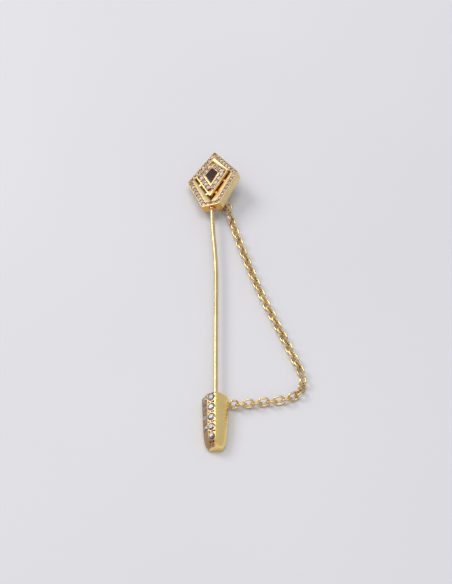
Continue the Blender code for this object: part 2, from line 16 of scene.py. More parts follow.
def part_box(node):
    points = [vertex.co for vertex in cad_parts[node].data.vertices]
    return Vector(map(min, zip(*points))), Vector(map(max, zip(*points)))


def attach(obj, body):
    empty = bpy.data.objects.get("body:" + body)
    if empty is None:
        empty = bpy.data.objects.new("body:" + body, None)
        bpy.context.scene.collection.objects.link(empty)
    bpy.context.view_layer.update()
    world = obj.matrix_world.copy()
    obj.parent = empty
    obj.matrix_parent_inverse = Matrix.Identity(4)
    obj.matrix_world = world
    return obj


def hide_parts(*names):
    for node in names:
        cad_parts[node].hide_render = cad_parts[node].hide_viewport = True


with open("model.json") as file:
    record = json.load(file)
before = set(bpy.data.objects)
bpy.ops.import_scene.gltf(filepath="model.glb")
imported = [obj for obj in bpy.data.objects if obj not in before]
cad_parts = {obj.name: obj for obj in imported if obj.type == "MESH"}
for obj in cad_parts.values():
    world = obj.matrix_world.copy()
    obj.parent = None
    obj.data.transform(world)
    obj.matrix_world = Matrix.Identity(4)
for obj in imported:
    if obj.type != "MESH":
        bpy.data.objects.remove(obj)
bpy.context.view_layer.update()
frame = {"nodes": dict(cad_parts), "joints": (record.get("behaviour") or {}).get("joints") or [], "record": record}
record = frame["record"]
joints = {joint["name"]: joint for joint in frame["joints"]}
mounts = {mount["name"]: mount for mount in record["mounts"]}

MM = 0.001
UP = Vector((0.0, 0.0, 1.0))
ROOT = "head_and_pin"
CLASP = "clasp"

# The clasp's mouth on the pin's axis, in the part's own millimetres, and the back mount in the head's own
CLASP_START = -25.7
PIN_HEIGHT = 1.85
SHIFT = Vector(joints["clasp_turn"]["pos_m"]) / MM - Vector((0.0, CLASP_START, PIN_HEIGHT))
TO_ROW = Matrix.Scale(MM, 4) @ Matrix.Translation(SHIFT)
BACK_SPOT = Vector((-4.0, -1.2, -1.8))
HEAD_NOD = -1.0
HEAD_ROLL = -19.9
HEAD_YAW = -3.0
HEAD_TURN = (
    Matrix.Rotation(math.radians(HEAD_NOD), 3, "X")
    @ Matrix.Rotation(math.radians(HEAD_ROLL), 3, "Y")
    @ Matrix.Rotation(math.radians(HEAD_YAW), 3, "Z")
)
HEAD_SPOT = Vector(mounts["head_back"]["pos_m"]) / MM - SHIFT - HEAD_TURN @ BACK_SPOT
HEAD = Matrix.Translation(HEAD_SPOT) @ HEAD_TURN.to_4x4()


# ---------------------------------------------------------------- mesh tools

BEVEL_STEPS = 2
BEVEL_ANGLE = 40.0
HOOP_SIDES = 14

# The angles between faces, in degrees, past which an edge is drawn sharp
EDGE = 35.0
HEAD_EDGE = 30.0
CLASP_EDGE = 28.0
BEAD_EDGE = 50.0


def mesh_piece(name, mesh, finish, body, replaced=(), placed=None, angle=EDGE):
    """Put a mesh drawn in millimetres in the row frame, on a body, in place of its CAD nodes."""
    mesh.transform(TO_ROW @ placed if placed is not None else TO_ROW)
    mesh.name = name
    mesh.materials.clear()
    mesh.materials.append(finish)
    mesh.shade_smooth()
    if angle is not None:
        mesh.set_sharp_from_angle(angle=math.radians(angle))
    made = bpy.data.objects.new(name, mesh)
    bpy.context.scene.collection.objects.link(made)
    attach(made, body)
    if replaced:
        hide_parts(*replaced)
    return made


def flat_shaded(obj):
    """Show every facet of a cut stone."""
    for face in obj.data.polygons:
        face.use_smooth = False


def loft(rings, closed=False):
    """Faces between rings of equal length; a closed loft joins its ends, and an open one caps them."""
    work = bmesh.new()
    rows = [[work.verts.new(point) for point in ring] for ring in rings]
    pairs = list(zip(rows, rows[1:])) + ([(rows[-1], rows[0])] if closed else [])
    for near, far in pairs:
        for i in range(len(near)):
            k = (i + 1) % len(near)
            work.faces.new((near[i], near[k], far[k], far[i]))
    if not closed:
        work.faces.new(rows[0])
        work.faces.new(rows[-1])
    bmesh.ops.recalc_face_normals(work, faces=work.faces)
    mesh = bpy.data.meshes.new("loft")
    work.to_mesh(mesh)
    work.free()
    return mesh


def merged(meshes):
    """One mesh from several, which are used up."""
    work = bmesh.new()
    for mesh in meshes:
        work.from_mesh(mesh)
        bpy.data.meshes.remove(mesh)
    made = bpy.data.meshes.new("merged")
    work.to_mesh(made)
    work.free()
    return made


def cut(mesh, cutter):
    """The mesh with another closed mesh cut away."""
    target = bpy.data.objects.new("target", mesh)
    tool = bpy.data.objects.new("tool", cutter)
    for obj in (target, tool):
        bpy.context.scene.collection.objects.link(obj)
    step = target.modifiers.new("cut", "BOOLEAN")
    step.operation = "DIFFERENCE"
    step.solver = "EXACT"
    step.object = tool
    bpy.context.view_layer.update()
    graph = bpy.context.evaluated_depsgraph_get()
    made = bpy.data.meshes.new_from_object(target.evaluated_get(graph))
    for obj in (target, tool):
        bpy.data.objects.remove(obj, do_unlink=True)
    return made


def bevelled(mesh, width):
    """The mesh with its sharp edges softened."""
    holder = bpy.data.objects.new("holder", mesh)
    bpy.context.scene.collection.objects.link(holder)
    soft = holder.modifiers.new("soft", "BEVEL")
    soft.width = width
    soft.segments = BEVEL_STEPS
    soft.limit_method = "ANGLE"
    soft.angle_limit = math.radians(BEVEL_ANGLE)
    bpy.context.view_layer.update()
    graph = bpy.context.evaluated_depsgraph_get()
    made = bpy.data.meshes.new_from_object(holder.evaluated_get(graph))
    bpy.data.objects.remove(holder, do_unlink=True)
    return made


def turned(profile, steps):
    """A closed shape turned about Z from (radius, height) points that start and end on the axis."""
    work = bmesh.new()
    rows = []
    for radius, height in profile:
        if radius == 0.0:
            rows.append([work.verts.new((0.0, 0.0, height))])
            continue
        turn = [2 * math.pi * k / steps for k in range(steps)]
        rows.append([work.verts.new((radius * math.cos(a), radius * math.sin(a), height)) for a in turn])
    for near, far in zip(rows, rows[1:]):
        for i in range(steps):
            k = (i + 1) % steps
            corners = [near[i % len(near)], near[k % len(near)], far[k % len(far)], far[i % len(far)]]
            work.faces.new(list(dict.fromkeys(corners)))
    bmesh.ops.recalc_face_normals(work, faces=work.faces)
    mesh = bpy.data.meshes.new("turned")
    work.to_mesh(mesh)
    work.free()
    return mesh


def wire(points, radii, sides, closed=True):
    """A round wire along points that run about level."""
    count = len(points)
    rings = []
    for i, here in enumerate(points):
        after = points[(i + 1) % count] if closed or i < count - 1 else here
        before = points[i - 1] if closed or i > 0 else here
        along = (after - before).normalized()
        side = along.cross(UP).normalized()
        up = side.cross(along)
        ring = []
        for k in range(sides):
            angle = 2 * math.pi * k / sides
            ring.append(here + (side * math.cos(angle) + up * math.sin(angle)) * radii[i])
        rings.append(ring)
    return loft(rings, closed)


def hoop(radius, tube, steps):
    """A level ring of round wire."""
    turn = [2 * math.pi * k / steps for k in range(steps)]
    points = [Vector((radius * math.cos(a), radius * math.sin(a), 0.0)) for a in turn]
    return wire(points, [tube] * steps, HOOP_SIDES)


def smooth_path(points, steps):
    """A Catmull-Rom curve through the points."""
    padded = [points[0] * 2 - points[1]] + points + [points[-1] * 2 - points[-2]]
    out = []
    for i in range(1, len(padded) - 2):
        a, b, c, d = padded[i - 1], padded[i], padded[i + 1], padded[i + 2]
        for k in range(steps):
            t = k / steps
            bend = (a * 2 - b * 5 + c * 4 - d) * t ** 2 + (b * 3 - a - c * 3 + d) * t ** 3
            out.append((b * 2 + (c - a) * t + bend) / 2)
    out.append(points[-1])
    return out


# ---------------------------------------------------------------- flat outlines

LEAST_RADIUS = 0.01
TINY = 1e-9
NEARLY_LEVEL = 1e-12


def inset(points, distance):
    """A closed outline, listed clockwise, moved inwards by a distance."""
    count = len(points)
    moved = []
    for i in range(count):
        before, here, after = Vector(points[i - 1]), Vector(points[i]), Vector(points[(i + 1) % count])
        first = (here - before).normalized()
        second = (after - here).normalized()
        first_normal = Vector((first.y, -first.x))
        second_normal = Vector((second.y, -second.x))
        share = 1.0 + first_normal.dot(second_normal)
        moved.append(here + (first_normal + second_normal) * (distance / share))
    return moved


def rounded(points, radii, steps=8):
    """A closed outline with its corners rounded."""
    count = len(points)
    out = []
    for i in range(count):
        here = Vector(points[i])
        to_before = (Vector(points[i - 1]) - here).normalized()
        to_after = (Vector(points[(i + 1) % count]) - here).normalized()
        half = math.acos(max(-1.0, min(1.0, to_before.dot(to_after)))) / 2
        reach = max(radii[i], LEAST_RADIUS) / math.tan(half)
        start = here + to_before * reach
        end = here + to_after * reach
        for k in range(steps + 1):
            t = k / steps
            out.append(start * (1 - t) ** 2 + here * (2 * t * (1 - t)) + end * t ** 2)
    return out


def rays_to(outline, centre, angles):
    """Where rays from a centre at the given angles meet an outline round it."""
    pts = np.array([tuple(p) for p in outline]) - np.array(centre)
    nxt = np.roll(pts, -1, axis=0)
    edge = nxt - pts
    out = []
    for angle in angles:
        d = np.array((math.cos(angle), math.sin(angle)))
        cross = d[0] * edge[:, 1] - d[1] * edge[:, 0]
        cross = np.where(np.abs(cross) < NEARLY_LEVEL, NEARLY_LEVEL, cross)
        reach = (pts[:, 0] * edge[:, 1] - pts[:, 1] * edge[:, 0]) / cross
        share = (pts[:, 0] * d[1] - pts[:, 1] * d[0]) / cross
        hit = (share >= -TINY) & (share <= 1 + TINY) & (reach > 0)
        out.append(Vector((*(d * reach[hit].max() + np.array(centre)),)))
    return out


def outline_angles(outline, centre, spacing):
    """The directions of an outline's points, with more along its straight sides."""
    angles = []
    for a, b in zip(outline, outline[1:] + outline[:1]):
        pieces = max(1, round((b - a).length / spacing))
        for k in range(pieces):
            spot = a.lerp(b, k / pieces)
            angles.append(math.atan2(spot.y - centre[1], spot.x - centre[0]))
    return sorted(set(round(angle, 5) for angle in angles))


def spaced(points, pitch, start, finish):
    """Evenly spaced places along a line of corners, and those midway, each with the line's direction."""
    corners = [Vector(p) for p in points]
    lengths = [(b - a).length for a, b in zip(corners, corners[1:])]
    total = sum(lengths) - start - finish
    count = max(1, round(total / pitch))
    out = []
    for i in range(2 * count + 1):
        along = start + total * i / count / 2
        k = 0
        while k < len(lengths) - 1 and along > lengths[k]:
            along -= lengths[k]
            k += 1
        spot = corners[k].lerp(corners[k + 1], min(1.0, along / lengths[k]))
        out.append((spot, (corners[k + 1] - corners[k]).normalized()))
    return out[0::2], out[1::2]


# ---------------------------------------------------------------- finishes

GRAIN_DEPTH = 0.00002
DRIFT = 420.0
POLISH = 1500.0
NOISE_LOW = 0.25
NOISE_HIGH = 0.75


def new_material(name):
    """A material, its node tree and its shader."""
    made = bpy.data.materials.new(name)
    made.use_nodes = True
    return made, made.node_tree, made.node_tree.nodes["Principled BSDF"]


def noise(tree, scale, detail=2.0, stretch=None, seed=0.0):
    """Noise in object space, with scale in waves a metre."""
    place = tree.nodes.new("ShaderNodeTexCoord")
    mapping = tree.nodes.new("ShaderNodeMapping")
    mapping.inputs["Location"].default_value = (seed, seed, seed)
    if stretch:
        mapping.inputs["Scale"].default_value = stretch
    made = tree.nodes.new("ShaderNodeTexNoise")
    made.inputs["Scale"].default_value = scale
    made.inputs["Detail"].default_value = detail
    tree.links.new(place.outputs["Object"], mapping.inputs["Vector"])
    tree.links.new(mapping.outputs["Vector"], made.inputs["Vector"])
    return made.outputs["Fac"]


def ramp(tree, source, stops):
    """A colour from a value, by (value, colour) stops."""
    made = tree.nodes.new("ShaderNodeValToRGB")
    while len(made.color_ramp.elements) < len(stops):
        made.color_ramp.elements.new(0.5)
    for element, (at, colour) in zip(made.color_ramp.elements, stops):
        element.position = at
        element.color = (*colour, 1.0)
    tree.links.new(source, made.inputs["Fac"])
    return made.outputs["Color"]


def spread(tree, source, low, high):
    """A noise's middle half stretched over a range."""
    made = tree.nodes.new("ShaderNodeMapRange")
    made.inputs["From Min"].default_value = NOISE_LOW
    made.inputs["From Max"].default_value = NOISE_HIGH
    made.inputs["To Min"].default_value = low
    made.inputs["To Max"].default_value = high
    tree.links.new(source, made.inputs["Value"])
    return made.outputs["Result"]


def gold(name, light, deep, rough, grain, grain_scale=9000.0, stretch=None, painted_light_stops=None):
    """Plated gold: a slow drift of tone, uneven polish, a fine grain and, if asked, painted light and shade from
    the mesh's per-face tones.
    """
    made, tree, shader = new_material(name)
    shader.inputs["Metallic"].default_value = 1.0
    tone = ramp(tree, noise(tree, DRIFT, 3.0), ((0.3, deep), (0.7, light)))
    # Multiply in painted light and shade from the mesh's per-face tones: amber reflection, rose shade, brown shade
    # in cuts
    if painted_light_stops:
        place = tree.nodes.new("ShaderNodeAttribute")
        place.attribute_name = "paint_light_tone"
        blend = tree.nodes.new("ShaderNodeMixRGB")
        blend.blend_type = "MULTIPLY"
        blend.inputs["Fac"].default_value = 1.0
        tree.links.new(tone, blend.inputs["Color1"])
        tree.links.new(ramp(tree, place.outputs["Fac"], painted_light_stops), blend.inputs["Color2"])
        tone = blend.outputs["Color"]
    tree.links.new(tone, shader.inputs["Base Color"])
    tree.links.new(spread(tree, noise(tree, POLISH, 4.0, seed=3.0), *rough), shader.inputs["Roughness"])
    bump = tree.nodes.new("ShaderNodeBump")
    bump.inputs["Strength"].default_value = grain
    bump.inputs["Distance"].default_value = GRAIN_DEPTH
    tree.links.new(noise(tree, grain_scale, 3.0, stretch, 7.0), bump.inputs["Height"])
    tree.links.new(bump.outputs["Normal"], shader.inputs["Normal"])
    return made


def stone(name, stops, rough, ior):
    """A cut stone, each facet given a painted reflection tone, dark to bright, from the mesh's facet value."""
    made, tree, shader = new_material(name)
    facet = tree.nodes.new("ShaderNodeAttribute")
    facet.attribute_name = "facet"
    tree.links.new(ramp(tree, facet.outputs["Fac"], stops), shader.inputs["Base Color"])
    tree.links.new(spread(tree, noise(tree, 4000.0, 2.0), *rough), shader.inputs["Roughness"])
    shader.inputs["IOR"].default_value = ior
    return made


WHITE = (1.0, 1.0, 1.0)
# Painted amber reflection, multiplied onto the head's foot and tier walls
PAINTED_AMBER_REFLECTION = (1.0, 0.74, 0.42)
# Painted rose shade, multiplied onto the clasp's stone-set side
PAINTED_ROSE_SHADE = (0.44, 0.38, 0.5)
# Painted umber shade, multiplied into the recesses cut into the clasp
PAINTED_UMBER_SHADE = (0.3, 0.14, 0.07)
SATIN_GRAIN = 14000.0
WIRE_GRAIN = 12000.0

GOLD = gold("gold_polished", (0.86, 0.69, 0.38), (0.74, 0.55, 0.25), (0.14, 0.3), 0.16)
# The head's gold, with painted amber reflection on its foot and tier walls
GOLD_HEAD = gold(
    "gold_head", (0.86, 0.7, 0.38), (0.76, 0.57, 0.27), (0.24, 0.4), 0.15, SATIN_GRAIN,
    painted_light_stops=((0.0, WHITE), (0.5, PAINTED_AMBER_REFLECTION), (1.0, PAINTED_UMBER_SHADE)),
)
# The clasp's gold, with painted rose shade on its stone-set side and painted brown shade in its cuts
GOLD_CLASP = gold(
    "gold_clasp", (1.0, 0.79, 0.34), (0.95, 0.72, 0.28), (0.2, 0.36), 0.12, SATIN_GRAIN,
    stretch=(3.0, 0.4, 3.0), painted_light_stops=((0.0, WHITE), (0.5, PAINTED_ROSE_SHADE), (1.0, PAINTED_UMBER_SHADE)),
)
GOLD_WIRE = gold(
    "gold_wire", (0.86, 0.66, 0.36), (0.79, 0.56, 0.26), (0.16, 0.28), 0.08, WIRE_GRAIN,
    stretch=(2.5, 0.15, 2.5),
)
GOLD_CHAIN = gold("gold_chain", (0.88, 0.68, 0.35), (0.62, 0.42, 0.17), (0.12, 0.28), 0.2)
COPPER = gold("gold_copper_tint", (0.74, 0.49, 0.3), (0.56, 0.33, 0.18), (0.16, 0.32), 0.2)
ROSE_GOLD = gold("gold_rose_tint", (0.58, 0.42, 0.28), (0.4, 0.27, 0.17), (0.16, 0.32), 0.2)
# Champagne stone colour with painted reflections, dark to bright, set per facet
PALE = stone(
    "stone_champagne",
    (
        (0.0, (0.2, 0.13, 0.09)), (0.3, (0.42, 0.31, 0.24)),
        (0.62, (0.7, 0.52, 0.42)), (1.0, (0.96, 0.81, 0.69)),
    ),
    (0.03, 0.12), 2.0,
)
# Clear stones drawn as painted reflections, near black to grey, set per facet
CLEAR = stone(
    "stone_clear",
    (
        (0.0, (0.05, 0.04, 0.035)), (0.35, (0.2, 0.17, 0.15)),
        (0.7, (0.26, 0.23, 0.2)), (1.0, (0.5, 0.48, 0.44)),
    ),
    (0.05, 0.14), 1.9,
)


def dark_stone():
    """A flat dark brown stone with a faint coat of polish."""
    made, tree, shader = new_material("stone_dark")
    tone = ramp(tree, noise(tree, 900.0, 4.0), ((0.3, (0.04, 0.02, 0.016)), (0.72, (0.075, 0.04, 0.033))))
    tree.links.new(tone, shader.inputs["Base Color"])
    tree.links.new(spread(tree, noise(tree, 2500.0, 3.0, seed=5.0), 0.12, 0.3), shader.inputs["Roughness"])
    shader.inputs["Specular IOR Level"].default_value = 0.2
    shader.inputs["Coat Weight"].default_value = 0.1
    shader.inputs["Coat Roughness"].default_value = 0.08
    return made


DARK = dark_stone()


# ---------------------------------------------------------------- stones and beads

GEM_SIDES = 8
TABLE = 0.56
STAR = 0.8
STAR_RISE = 0.52
BETWEEN = 0.99
GIRDLE = 0.06
BEAD_RADIUS = 0.15
BEAD_STEPS = 4
BEAD_SIDES = 10
POST_SPREAD = 1.05


def brilliant(radius, rise, depth, turn=0.0):
    """A round brilliant: table, star and kite facets, girdle and pavilion; its girdle is at z = 0."""
    work = bmesh.new()

    def ring(share, height, half_step):
        step = math.pi / GEM_SIDES
        spots = [turn + (2 * k + half_step) * step for k in range(GEM_SIDES)]
        out = radius * share
        return [work.verts.new((out * math.cos(a), out * math.sin(a), height)) for a in spots]

    table = ring(TABLE, rise, 0)
    star = ring(STAR, rise * STAR_RISE, 1)
    girdle = ring(1.0, 0.0, 0)
    between = ring(BETWEEN, 0.0, 1)
    low = ring(1.0, -GIRDLE * radius, 0)
    low_between = ring(BETWEEN, -GIRDLE * radius, 1)
    culet = work.verts.new((0.0, 0.0, -depth))
    work.faces.new(table)
    for i in range(GEM_SIDES):
        k = (i + 1) % GEM_SIDES
        work.faces.new((table[i], table[k], star[i]))
        work.faces.new((star[i - 1], girdle[i], star[i], table[i]))
        work.faces.new((star[i], girdle[i], between[i]))
        work.faces.new((star[i], between[i], girdle[k]))
        work.faces.new((girdle[i], low[i], low_between[i], between[i]))
        work.faces.new((between[i], low_between[i], low[k], girdle[k]))
        work.faces.new((low[i], culet, low_between[i]))
        work.faces.new((low_between[i], culet, low[k]))
    bmesh.ops.recalc_face_normals(work, faces=work.faces)
    mesh = bpy.data.meshes.new("brilliant")
    work.to_mesh(mesh)
    work.free()
    return mesh


def painted_facet_glints(mesh, seed):
    """A random painted reflection tone for each facet, dark to bright, so that cut stones sparkle unevenly."""
    rng = np.random.default_rng(seed)
    values = rng.uniform(0.0, 1.0, len(mesh.polygons))
    layer = mesh.attributes.new("facet", "FLOAT", "FACE")
    layer.data.foreach_set("value", values.astype(np.float32))


def bead(post):
    """A grain of metal raised over the edge of a stone, on a post of the given length."""
    radius = BEAD_RADIUS
    profile = [(0.0, radius)]
    for k in range(1, BEAD_STEPS + 1):
        angle = math.pi / 2 * (1 - k / BEAD_STEPS)
        profile.append((radius * math.cos(angle), radius * math.sin(angle)))
    profile += [(radius * POST_SPREAD, -post), (0.0, -post)]
    return turned(profile, BEAD_SIDES)


def at(mesh, place):
    """The mesh, moved."""
    mesh.transform(place)
    return mesh


# ---------------------------------------------------------------- head

OUTER = [Vector(p) for p in ((0.0, 6.95), (5.45, -0.35), (1.9, -8.1), (-1.9, -8.1), (-5.45, -0.35))]
OUTER_RADII = (0.35, 0.8, 0.9, 0.9, 0.8)
INNER = [Vector(p) for p in ((0.0, 4.0), (3.4, 0.0), (0.0, -6.3), (-3.4, 0.0))]
INNER_RADII = (0.3, 0.3, 0.45, 0.3)
CENTRE_STONE = [Vector(p) for p in ((0.0, 1.8), (1.3, 0.0), (0.0, -2.6), (-1.3, 0.0))]
THICK = 1.8
RISE = 0.6
INNER_BACK = -1.6
SLOT = 0.38
TOP_SLOT = 0.07
HUB = (0.0, -0.4)
BASE_SPACING = 0.22
TIER_SPACING = 0.2
LEAST_RING_RADIUS = 0.06
GAP_RADII = (0.2,) * 4
SEAT_RADII = (0.06,) * 4
STONE_RADII = (0.05,) * 4
STONE_STEPS = 3

# The channels' insets from the outlines, their depth, and the slope and rounding of their sides
OUTER_CHANNEL = (0.17, 1.03)
INNER_CHANNEL = (0.26, 1.36)
CHANNEL = 0.45
SLOPE = 0.02
FILLET = 0.05
LIP = 0.03

# Sections of the two tiers and the middle stone, as (inset, height) points
BASE_WALL = (
    (0.1, -THICK), (0.02, -THICK + 0.05), (0.0, -THICK + 0.14), (0.0, -0.16),
    (0.015, -0.08), (0.05, -0.025), (0.1, 0.0), (OUTER_CHANNEL[0] - 0.02, 0.0),
)
BASE_HOLE = ((-0.06, 0.0), (-0.015, -0.02), (0.0, -0.08), (0.0, -THICK))
TIER_WALL = (
    (0.0, INNER_BACK), (0.0, RISE - 0.14), (0.015, RISE - 0.06), (0.05, RISE - 0.015),
    (0.1, RISE), (INNER_CHANNEL[0] - LIP, RISE),
)
TIER_SEAT = ((-0.12, RISE), (-0.05, RISE - 0.01), (-0.03, RISE - 0.05), (-0.03, RISE - 0.9))
STONE_ROWS = (
    (0.0, RISE - 0.88), (0.0, RISE - 0.86), (0.0, RISE - 0.14), (0.05, RISE - 0.07), (0.13, RISE - 0.05),
)

# Bars across the slot, two to a side: size, places along the side, depth and overlap with the tier
TAB = (0.55, SLOT + 0.28, 0.78)
TAB_SHARES = (0.28, 0.74)
TAB_SINK = 0.51
TAB_OVERLAP = 0.16
TAB_BEVEL = 0.05

GEM_RISE = 0.17
GEM_DEPTH = 0.36
GEM_SINK = 0.09
GEM_TURN = 0.4
BEAD_POST = 0.36
BEAD_SINK = 0.03

# Per-face tones of painted light: none, the painted side tone, and painted brown shade in cuts
PLAIN_TONE = 0.0
PAINTED_SIDE_TONE = 0.5
PAINTED_CUT_SHADE_TONE = 1.0
FOOT_FACING = 0.6
WALL_FACING = 0.3
HEAD_SEED = 5


def ring_at(outline, radii, distance, height, angles):
    """An outline moved inwards, as points on fixed rays from the hub, so that all such rings join up."""
    moved = rounded(inset(outline, distance), [max(r - distance, LEAST_RING_RADIUS) for r in radii])
    return [Vector((p.x, p.y, height)) for p in rays_to(moved, HUB, angles)]


def rings_of(groups, angles):
    """Rings for groups of an outline, its corner radii and a section."""
    return [
        ring_at(outline, radii, distance, height, angles)
        for outline, radii, section in groups
        for distance, height in section
    ]


def channel(near, far, lift):
    """The section of a channel under a face at the given height."""
    floor = lift - CHANNEL
    return (
        (near, lift - LIP), (near + SLOPE, floor + FILLET), (near + SLOPE + FILLET, floor),
        (far - SLOPE - FILLET, floor), (far - SLOPE, floor + FILLET), (far, lift - LIP),
    )


def paint_light_tone(mesh, tone_of):
    """Give each face a tone of painted light: plain, a painted side tone (amber reflection on the head, rose shade
    on the clasp), or the painted brown shade of a sunk cut.
    """
    layer = mesh.attributes.new("paint_light_tone", "FLOAT", "FACE")
    layer.data.foreach_set("value", np.array([tone_of(face) for face in mesh.polygons], np.float32))


def foot_painted_reflection(face):
    """Painted amber reflection on the head's foot, round the pin."""
    return PAINTED_SIDE_TONE if face.normal.y < -FOOT_FACING and abs(face.normal.z) < FOOT_FACING else PLAIN_TONE


def tier_painted_reflection(face):
    """Painted amber reflection on the upper tier's walls."""
    return PAINTED_SIDE_TONE if abs(face.normal.z) < WALL_FACING else PLAIN_TONE


def slot_tabs():
    """The bars that join the upper tier to the lower one across the slot."""
    bars = []
    for a, b in zip(INNER, INNER[1:] + INNER[:1]):
        along = (b - a).normalized()
        outward = Vector((-along.y, along.x))
        turn = Matrix.Rotation(math.atan2(along.y, along.x), 4, "Z")
        for share in TAB_SHARES:
            box = bmesh.new()
            bmesh.ops.create_cube(box, size=1.0)
            bar = bpy.data.meshes.new("bar")
            box.to_mesh(bar)
            box.free()
            bar = bevelled(at(bar, Matrix.Diagonal((*TAB, 1.0))), TAB_BEVEL)
            spot = a.lerp(b, share) + outward * (SLOT / 2 - TAB_OVERLAP)
            bars.append(at(bar, Matrix.Translation((spot.x, spot.y, -TAB_SINK)) @ turn))
    return bars


def build_head():
    """Both tiers, the middle stone, and the rows of stones and beads."""
    angles = outline_angles(rounded(OUTER, OUTER_RADII), HUB, BASE_SPACING)
    gap = [Vector(p) for p in inset(INNER, -SLOT)]
    gap[0] = Vector(inset(INNER, -TOP_SLOT)[0])
    inner_lip = ((OUTER_CHANNEL[1] + LIP, 0.0),)
    top = BASE_WALL + channel(*OUTER_CHANNEL, 0.0) + inner_lip
    base = loft(rings_of([(OUTER, OUTER_RADII, top), (gap, GAP_RADII, BASE_HOLE)], angles), closed=True)
    # Painted amber reflection on the foot round the pin
    paint_light_tone(base, foot_painted_reflection)
    mesh_piece("head_base", base, GOLD_HEAD, ROOT, ["head_outer_frame"], HEAD, HEAD_EDGE)

    angles = outline_angles(rounded(INNER, INNER_RADII), HUB, TIER_SPACING)
    top = TIER_WALL + channel(*INNER_CHANNEL, RISE)
    groups = [(INNER, INNER_RADII, top), (CENTRE_STONE, SEAT_RADII, TIER_SEAT)]
    tier = merged([loft(rings_of(groups, angles))] + slot_tabs())
    # Painted amber reflection on the tier's walls
    paint_light_tone(tier, tier_painted_reflection)
    mesh_piece("head_tier", tier, GOLD_HEAD, ROOT, ["head_inner_frame"], HEAD, HEAD_EDGE)

    rings = []
    for distance, height in STONE_ROWS:
        outline = rounded(inset(CENTRE_STONE, distance), STONE_RADII, STONE_STEPS)
        rings.append([Vector((p.x, p.y, height)) for p in outline])
    kite = loft(rings)
    mesh_piece("head_kite_stone", kite, DARK, ROOT, ["head_centre_stone"], HEAD, HEAD_EDGE)

    middle = inset(OUTER, sum(OUTER_CHANNEL) / 2)
    right = [middle[0], middle[1], middle[2], Vector((0.0, middle[2].y))]
    pave("outer", right, radius=0.4, pitch=1.02, ends=(0.72, 0.55), lift=0.0, reach=0.29)
    middle = inset(INNER, sum(INNER_CHANNEL) / 2)
    pave("inner", middle[:3], radius=0.5, pitch=1.22, ends=(0.86, 1.12), lift=RISE, reach=0.3)


def pave(tier, right, radius, pitch, ends, lift, reach):
    """Both sides' stones in their channel, with a pair of beads at each gap."""
    for side, sign in (("right", 1), ("left", -1)):
        line = [Vector((p.x * sign, p.y)) for p in right]
        spots, gaps = spaced(line, pitch, *ends)
        gems = []
        for k, (spot, _) in enumerate(spots):
            gem = brilliant(radius, GEM_RISE, GEM_DEPTH, GEM_TURN * k)
            gems.append(at(gem, Matrix.Translation((spot.x, spot.y, lift - GEM_SINK))))
        beads = []
        for spot, along in gaps:
            across = Vector((-along.y, along.x))
            for way in (-1, 1):
                grain = spot + across * reach * way
                beads.append(at(bead(BEAD_POST), Matrix.Translation((grain.x, grain.y, lift - BEAD_SINK))))
        mesh = merged(gems)
        # Painted reflection tones, one for each facet
        painted_facet_glints(mesh, len(tier) + sign + HEAD_SEED)
        replaced = [f"head_{tier}_stones_{side}"]
        flat_shaded(mesh_piece(f"{tier}_stones_{side}", mesh, PALE, ROOT, replaced, HEAD, None))
        mesh_piece(f"{tier}_beads_{side}", merged(beads), GOLD, ROOT, (), HEAD, BEAD_EDGE)


# ---------------------------------------------------------------- pin

PIN_RADIUS = 0.42
PIN_TIP = -34.0
PIN_TAPER = 3.0
PIN_BEND = ((-0.72, 14.3, 2.25), (-0.24, 8.0, 1.98), (-0.03, 3.0, 1.87))
PIN_SIDES = 28
PIN_FOOT = -8.1
PIN_ENTRY = -1.1
PIN_INSIDE = 0.7
PIN_OUTSIDE = 0.6
BEND_STEPS = 12
STRAIGHT_START = -1.0
STRAIGHT_STEPS = 6
TAPER_STEPS = 8
TAPER_POWER = 1.5
TAPER_SHARE = 0.99
TIP_RADIUS = 0.05
COLLAR_RADIUS = 0.72
COLLAR_TUBE = 0.26
COLLAR_GAP = 0.02
COLLAR_SIDES = 20
COLLAR_STEPS = 40


